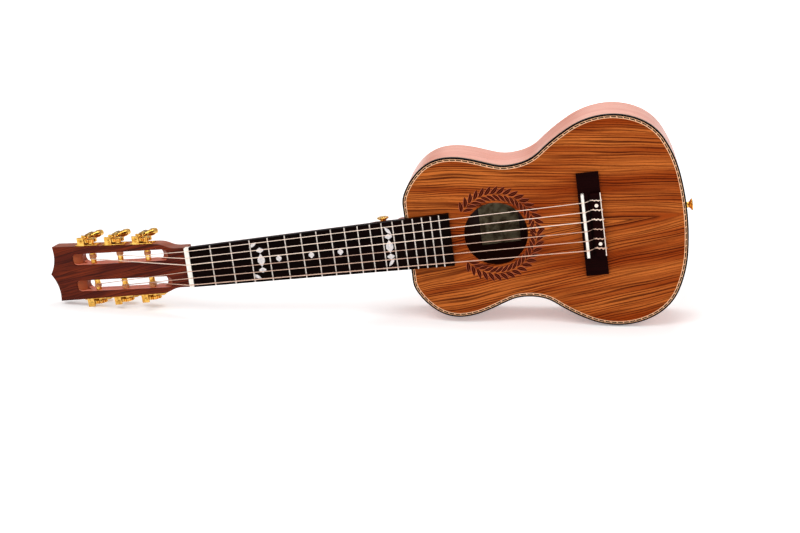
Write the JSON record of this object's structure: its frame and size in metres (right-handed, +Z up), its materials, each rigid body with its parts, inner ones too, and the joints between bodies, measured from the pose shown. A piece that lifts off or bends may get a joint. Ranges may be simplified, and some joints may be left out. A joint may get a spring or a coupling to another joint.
{
  "type": "guitarlele",
  "caption": "Small flat-top nylon-string guitar with a slotted head, open geared tuning machines, tie-block bridge and strap buttons.",
  "frame": {"origin": "On the floor under the middle of the bounding box, with the instrument resting on its bass side and on one bass tuning button.", "axes": "+X points from the head to the tail along the floor, +Y from the front of the soundboard to the back, +Z up to the treble side."},
  "size_m": [0.722, 0.0948, 0.2347],
  "materials": {
    "top_wood": "glossy clear lacquer over dark-striped wood",
    "side_wood": "glossy clear lacquer",
    "brace_wood": "bare planed wood",
    "neck_wood": "satin lacquer",
    "head_facing": "glossy lacquer",
    "fretboard_wood": "oiled, satin",
    "bridge_wood": "satin",
    "fret_metal": "polished nickel silver",
    "bone": "smooth, cream",
    "binding": "glossy black",
    "purfling": "cream and dark lines under lacquer",
    "pearl": "pearl",
    "paper": "plain paper",
    "plated_metal": "polished gold plate",
    "string": "clear and silver strings"
  },
  "bodies": {
    "instrument": {"soundboard": "top_wood", "back_plate": "side_wood", "side_treble": "side_wood", "side_bass": "side_wood", "top_binding": "binding", "top_purfling": "purfling", "neck_block": "brace_wood", "tail_block": "brace_wood", "top_lining": "brace_wood", "back_lining": "brace_wood", "top_braces": "brace_wood", "back_braces": "brace_wood", "bridge_patch": "top_wood", "label": "paper", "neck": "neck_wood", "heel_cap": "neck_wood", "head_veneer": "head_facing", "nut": "bone", "fretboard": "fretboard_wood", "frets": "fret_metal", "position_inlays": "pearl", "bridge": "bridge_wood", "saddle": "bone", "bridge_trim": "bone", "strap_buttons": "plated_metal", "string_1": "string", "string_2": "string", "string_3": "string", "string_4": "string", "string_5": "string", "string_6": "string", "tuner_plates": "plated_metal"},
    "tuner_1": {"button_1": "plated_metal", "worm_1": "plated_metal"},
    "spool_1": {"roller_1": "plated_metal", "winding_1": "string"},
    "tuner_2": {"button_2": "plated_metal", "worm_2": "plated_metal"},
    "spool_2": {"roller_2": "plated_metal", "winding_2": "string"},
    "tuner_3": {"button_3": "plated_metal", "worm_3": "plated_metal"},
    "spool_3": {"roller_3": "plated_metal", "winding_3": "string"},
    "tuner_4": {"button_4": "plated_metal", "worm_4": "plated_metal"},
    "spool_4": {"roller_4": "plated_metal", "winding_4": "string"},
    "tuner_5": {"button_5": "plated_metal", "worm_5": "plated_metal"},
    "spool_5": {"roller_5": "plated_metal", "winding_5": "string"},
    "tuner_6": {"button_6": "plated_metal", "worm_6": "plated_metal"},
    "spool_6": {"roller_6": "plated_metal", "winding_6": "string"}
  },
  "joints": [
    {"name": "button_turn_1", "type": "hinge", "parent": "instrument", "child": "tuner_1", "pos_m": [-0.25312, -0.01915, 0.0837], "axis": [0.2062, 0.9781, 0.0269], "continuous": true},
    {"name": "roller_turn_1", "type": "hinge", "parent": "instrument", "child": "spool_1", "pos_m": [-0.24384, -0.02099, 0.07944], "axis": [-0.1045, -0.0053, 0.9945], "continuous": true},
    {"name": "button_turn_2", "type": "hinge", "parent": "instrument", "child": "tuner_2", "pos_m": [-0.2866, -0.012, 0.08022], "axis": [0.2062, 0.9781, 0.0269], "continuous": true},
    {"name": "roller_turn_2", "type": "hinge", "parent": "instrument", "child": "spool_2", "pos_m": [-0.27732, -0.01384, 0.07596], "axis": [-0.1045, -0.0053, 0.9945], "continuous": true},
    {"name": "button_turn_3", "type": "hinge", "parent": "instrument", "child": "tuner_3", "pos_m": [-0.32008, -0.00484, 0.07674], "axis": [0.2062, 0.9781, 0.0269], "continuous": true},
    {"name": "roller_turn_3", "type": "hinge", "parent": "instrument", "child": "spool_3", "pos_m": [-0.3108, -0.00668, 0.07248], "axis": [-0.1045, -0.0053, 0.9945], "continuous": true},
    {"name": "button_turn_4", "type": "hinge", "parent": "instrument", "child": "tuner_4", "pos_m": [-0.31076, -0.00484, 0.00532], "axis": [0.2062, 0.9781, 0.0269], "continuous": true},
    {"name": "roller_turn_4", "type": "hinge", "parent": "instrument", "child": "spool_4", "pos_m": [-0.30288, -0.00668, 0.01182], "axis": [0.1543, -0.0053, -0.988], "continuous": true},
    {"name": "button_turn_5", "type": "hinge", "parent": "instrument", "child": "tuner_5", "pos_m": [-0.27751, -0.012, 0.01055], "axis": [0.2062, 0.9781, 0.0269], "continuous": true},
    {"name": "roller_turn_5", "type": "hinge", "parent": "instrument", "child": "spool_5", "pos_m": [-0.26963, -0.01384, 0.01705], "axis": [0.1543, -0.0053, -0.988], "continuous": true},
    {"name": "button_turn_6", "type": "hinge", "parent": "instrument", "child": "tuner_6", "pos_m": [-0.24425, -0.01915, 0.01578], "axis": [0.2062, 0.9781, 0.0269], "continuous": true},
    {"name": "roller_turn_6", "type": "hinge", "parent": "instrument", "child": "spool_6", "pos_m": [-0.23638, -0.02099, 0.02228], "axis": [0.1543, -0.0053, -0.988], "continuous": true}
  ],
  "couplings": [
    {"joint": "roller_turn_1", "follows": "button_turn_1", "ratio": 0.071429},
    {"joint": "roller_turn_2", "follows": "button_turn_2", "ratio": 0.071429},
    {"joint": "roller_turn_3", "follows": "button_turn_3", "ratio": 0.071429},
    {"joint": "roller_turn_4", "follows": "button_turn_4", "ratio": 0.071429},
    {"joint": "roller_turn_5", "follows": "button_turn_5", "ratio": 0.071429},
    {"joint": "roller_turn_6", "follows": "button_turn_6", "ratio": 0.071429}
  ]
}
